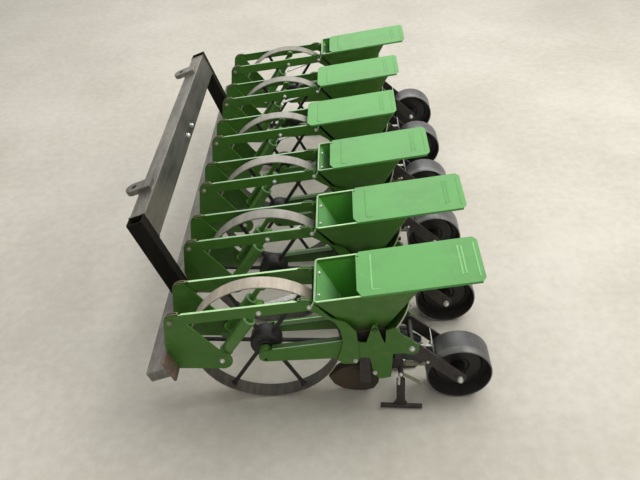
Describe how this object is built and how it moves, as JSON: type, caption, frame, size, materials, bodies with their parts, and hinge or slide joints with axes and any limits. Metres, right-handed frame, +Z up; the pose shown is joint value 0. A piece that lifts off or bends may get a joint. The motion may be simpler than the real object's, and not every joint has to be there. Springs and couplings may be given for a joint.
{
  "type": "seed drill",
  "caption": "Mounted precision seed drill: leaning hitch portal and toolbar carrying trailing row units with spoked front wheels, lidded hoppers, openers and press wheels.",
  "frame": {"origin": "on the floor, in the middle of the machine's length and width", "axes": "+X to the rear, from the hitch towards the press wheels; +Y across the rows, to the machine's right seen from behind; +Z up"},
  "size_m": [1.2596, 2.17, 0.6072],
  "materials": {
    "bare_steel": "weathered bare steel",
    "rusty_bar": "light rust",
    "green_paint": "worn satin green paint",
    "dark_steel": "dark brown-black steel",
    "zinc_plate": "zinc plated",
    "rusty_shoe": "rusty, soil stained",
    "lid_paint": "light green satin paint",
    "worn_rim": "dull worn steel",
    "drum_steel": "dark grey satin paint"
  },
  "bodies": {
    "frame": {"toolbar_tube": "bare_steel", "toolbar_bar": "rusty_bar", "hitch_arms": "bare_steel", "hitch_crossbar": "bare_steel", "hitch_tongues": "bare_steel", "bracket_plates": "green_paint", "upper_links": "green_paint", "spring_struts": "green_paint", "uprights": "green_paint", "side_rails": "green_paint", "cross_members": "green_paint", "front_axles": "green_paint", "chain_covers": "zinc_plate", "meter_housings": "dark_steel", "furrow_openers": "rusty_shoe", "wheel_guards": "dark_steel", "rear_shields": "green_paint", "covering_blades": "dark_steel", "press_arms": "dark_steel", "press_axles": "zinc_plate", "wheel_scrapers": "zinc_plate", "hopper_1": "green_paint", "hopper_2": "green_paint", "hopper_3": "green_paint", "hopper_4": "green_paint", "hopper_5": "green_paint", "hopper_6": "green_paint"},
    "front_wheel_1": {"front_wheel_1": "worn_rim"},
    "press_wheel_1": {"press_wheel_1": "drum_steel"},
    "lid_1": {"lid_1": "lid_paint"},
    "front_wheel_2": {"front_wheel_2": "worn_rim"},
    "press_wheel_2": {"press_wheel_2": "drum_steel"},
    "lid_2": {"lid_2": "lid_paint"},
    "front_wheel_3": {"front_wheel_3": "worn_rim"},
    "press_wheel_3": {"press_wheel_3": "drum_steel"},
    "lid_3": {"lid_3": "lid_paint"},
    "front_wheel_4": {"front_wheel_4": "worn_rim"},
    "press_wheel_4": {"press_wheel_4": "drum_steel"},
    "lid_4": {"lid_4": "lid_paint"},
    "front_wheel_5": {"front_wheel_5": "worn_rim"},
    "press_wheel_5": {"press_wheel_5": "drum_steel"},
    "lid_5": {"lid_5": "lid_paint"},
    "front_wheel_6": {"front_wheel_6": "worn_rim"},
    "press_wheel_6": {"press_wheel_6": "drum_steel"},
    "lid_6": {"lid_6": "lid_paint"}
  },
  "joints": [
    {"name": "front_wheel_1_spin", "type": "hinge", "parent": "frame", "child": "front_wheel_1", "pos_m": [-0.11916, -0.95, 0.25], "axis": [0, 1, 0], "continuous": true},
    {"name": "press_wheel_1_spin", "type": "hinge", "parent": "frame", "child": "press_wheel_1", "pos_m": [0.51984, -0.95, 0.11], "axis": [0, 1, 0], "continuous": true},
    {"name": "lid_1_slide", "type": "slide", "parent": "frame", "child": "lid_1", "axis": [0.9917, 0, 0.1288], "range_m": [-0.184, 0.066]},
    {"name": "front_wheel_2_spin", "type": "hinge", "parent": "frame", "child": "front_wheel_2", "pos_m": [-0.11916, -0.57, 0.25], "axis": [0, 1, 0], "continuous": true},
    {"name": "press_wheel_2_spin", "type": "hinge", "parent": "frame", "child": "press_wheel_2", "pos_m": [0.51984, -0.57, 0.11], "axis": [0, 1, 0], "continuous": true},
    {"name": "lid_2_slide", "type": "slide", "parent": "frame", "child": "lid_2", "axis": [0.9917, 0, 0.1288], "range_m": [-0.182, 0.068]},
    {"name": "front_wheel_3_spin", "type": "hinge", "parent": "frame", "child": "front_wheel_3", "pos_m": [-0.11916, -0.19, 0.25], "axis": [0, 1, 0], "continuous": true},
    {"name": "press_wheel_3_spin", "type": "hinge", "parent": "frame", "child": "press_wheel_3", "pos_m": [0.51984, -0.19, 0.11], "axis": [0, 1, 0], "continuous": true},
    {"name": "lid_3_slide", "type": "slide", "parent": "frame", "child": "lid_3", "axis": [0.9917, 0, 0.1288], "range_m": [-0.1, 0.15]},
    {"name": "front_wheel_4_spin", "type": "hinge", "parent": "frame", "child": "front_wheel_4", "pos_m": [-0.11916, 0.19, 0.25], "axis": [0, 1, 0], "continuous": true},
    {"name": "press_wheel_4_spin", "type": "hinge", "parent": "frame", "child": "press_wheel_4", "pos_m": [0.51984, 0.19, 0.11], "axis": [0, 1, 0], "continuous": true},
    {"name": "lid_4_slide", "type": "slide", "parent": "frame", "child": "lid_4", "axis": [0.9917, 0, 0.1288], "range_m": [0, 0.25]},
    {"name": "front_wheel_5_spin", "type": "hinge", "parent": "frame", "child": "front_wheel_5", "pos_m": [-0.11916, 0.57, 0.25], "axis": [0, 1, 0], "continuous": true},
    {"name": "press_wheel_5_spin", "type": "hinge", "parent": "frame", "child": "press_wheel_5", "pos_m": [0.51984, 0.57, 0.11], "axis": [0, 1, 0], "continuous": true},
    {"name": "lid_5_slide", "type": "slide", "parent": "frame", "child": "lid_5", "axis": [0.9917, 0, 0.1288], "range_m": [-0.038, 0.212]},
    {"name": "front_wheel_6_spin", "type": "hinge", "parent": "frame", "child": "front_wheel_6", "pos_m": [-0.11916, 0.95, 0.25], "axis": [0, 1, 0], "continuous": true},
    {"name": "press_wheel_6_spin", "type": "hinge", "parent": "frame", "child": "press_wheel_6", "pos_m": [0.51984, 0.95, 0.11], "axis": [0, 1, 0], "continuous": true},
    {"name": "lid_6_slide", "type": "slide", "parent": "frame", "child": "lid_6", "axis": [0.9917, 0, 0.1288], "range_m": [-0.094, 0.156]}
  ]
}
